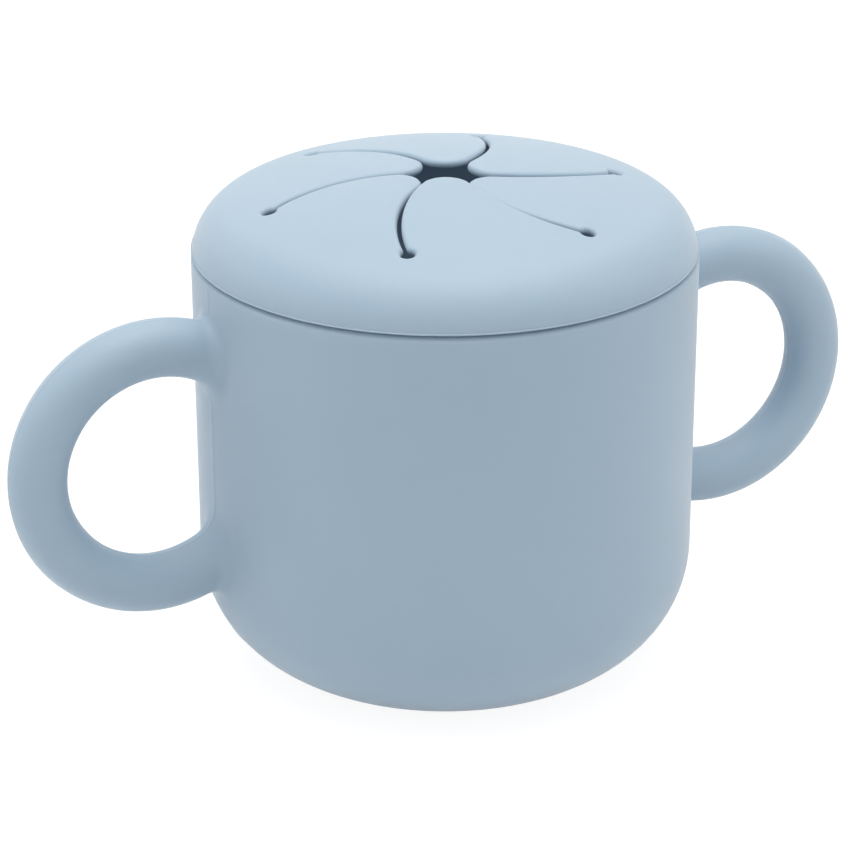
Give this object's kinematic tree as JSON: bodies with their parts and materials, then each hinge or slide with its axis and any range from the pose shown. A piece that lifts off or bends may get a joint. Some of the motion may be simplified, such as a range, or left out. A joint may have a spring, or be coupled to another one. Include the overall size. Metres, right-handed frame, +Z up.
{
  "type": "toddler snack cup",
  "caption": "Soft silicone toddler snack cup with round side handles and a domed lid whose curved petal flaps open round a star-shaped hole.",
  "frame": {"origin": "middle of the flat base the cup stands on", "axes": "+X from the cup's middle through a handle, +Y across the handles, +Z up through the star opening"},
  "size_m": [0.1504, 0.082, 0.0836],
  "materials": {
    "cup_silicone": "matte dusty-blue silicone",
    "lid_silicone": "matte dusty-blue silicone"
  },
  "bodies": {
    "cup": {"cup": "cup_silicone"},
    "lid": {"lid": "lid_silicone"},
    "flap_1": {"flap_1": "lid_silicone"},
    "flap_2": {"flap_2": "lid_silicone"},
    "flap_3": {"flap_3": "lid_silicone"},
    "flap_4": {"flap_4": "lid_silicone"},
    "flap_5": {"flap_5": "lid_silicone"},
    "flap_6": {"flap_6": "lid_silicone"}
  },
  "joints": [
    {"name": "lid_pull", "type": "slide", "parent": "cup", "child": "lid", "axis": [0, 0, 1], "range_m": [0, 0.04]},
    {"name": "flap_1_bend", "type": "hinge", "parent": "lid", "child": "flap_1", "pos_m": [0.02326, 0.01036, 0.08024], "axis": [0.4067, -0.9135, 0], "range_deg": [-30, 60], "stiffness_Nm_per_rad": 0.003},
    {"name": "flap_2_bend", "type": "hinge", "parent": "lid", "child": "flap_2", "pos_m": [0.00266, 0.02532, 0.08024], "axis": [0.9945, -0.1045, 0], "range_deg": [-30, 60], "stiffness_Nm_per_rad": 0.003},
    {"name": "flap_3_bend", "type": "hinge", "parent": "lid", "child": "flap_3", "pos_m": [-0.0206, 0.01497, 0.08024], "axis": [0.5878, 0.809, 0], "range_deg": [-30, 60], "stiffness_Nm_per_rad": 0.003},
    {"name": "flap_4_bend", "type": "hinge", "parent": "lid", "child": "flap_4", "pos_m": [-0.02326, -0.01036, 0.08024], "axis": [-0.4067, 0.9135, 0], "range_deg": [-30, 60], "stiffness_Nm_per_rad": 0.003},
    {"name": "flap_5_bend", "type": "hinge", "parent": "lid", "child": "flap_5", "pos_m": [-0.00266, -0.02532, 0.08024], "axis": [-0.9945, 0.1045, 0], "range_deg": [-30, 60], "stiffness_Nm_per_rad": 0.003},
    {"name": "flap_6_bend", "type": "hinge", "parent": "lid", "child": "flap_6", "pos_m": [0.0206, -0.01497, 0.08024], "axis": [-0.5878, -0.809, 0], "range_deg": [-30, 60], "stiffness_Nm_per_rad": 0.003}
  ]
}
